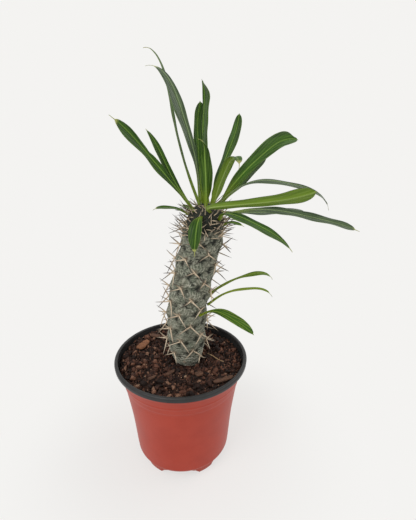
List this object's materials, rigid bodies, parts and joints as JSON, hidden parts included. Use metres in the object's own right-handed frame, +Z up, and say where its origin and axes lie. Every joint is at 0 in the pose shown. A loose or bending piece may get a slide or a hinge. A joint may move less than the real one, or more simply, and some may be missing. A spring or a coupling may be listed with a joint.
{
  "type": "potted pachypodium",
  "caption": "Young spiny-stemmed pachypodium with a crown of long narrow leaves, growing in a round two-colour plastic nursery pot.",
  "frame": {"origin": "centre of the pot's underside, on the surface it stands on", "axes": "+Z up through the pot; +X towards the side the stem leans to; -Y is the front"},
  "size_m": [0.2038, 0.1477, 0.3633],
  "materials": {
    "pot": "satin terracotta outside, black rolled lip and inside",
    "soil": "loose dark peat and bark potting mix",
    "stem": "dull grey-green bark with tan spines",
    "leaf": "smooth satin dark green with a pale midrib",
    "side_leaf": "smooth satin bright green with a pale midrib",
    "bark": "rough red-brown bark",
    "fibre": "dry straw"
  },
  "bodies": {
    "root": {"pot": "pot", "soil": "soil", "stem": "stem", "crown_leaf_01": "leaf", "crown_leaf_02": "leaf", "crown_leaf_03": "leaf", "crown_leaf_04": "leaf", "crown_leaf_05": "leaf", "crown_leaf_06": "leaf", "crown_leaf_07": "leaf", "crown_leaf_08": "leaf", "crown_leaf_09": "leaf", "crown_leaf_10": "leaf", "crown_leaf_11": "leaf", "crown_leaf_12": "leaf", "crown_leaf_13": "leaf", "crown_leaf_14": "leaf", "crown_leaf_15": "leaf", "crown_leaf_16": "leaf", "crown_leaf_17": "leaf", "crown_leaf_18": "leaf", "crown_leaf_19": "leaf", "crown_leaf_20": "leaf", "side_leaf_1": "side_leaf", "side_leaf_2": "side_leaf", "side_leaf_3": "side_leaf", "bark_chip_1": "bark", "bark_chip_2": "bark", "bark_chip_3": "bark", "bark_chip_4": "bark", "bark_chip_5": "bark", "bark_chip_6": "bark", "loose_fibre": "fibre"}
  },
  "joints": []
}
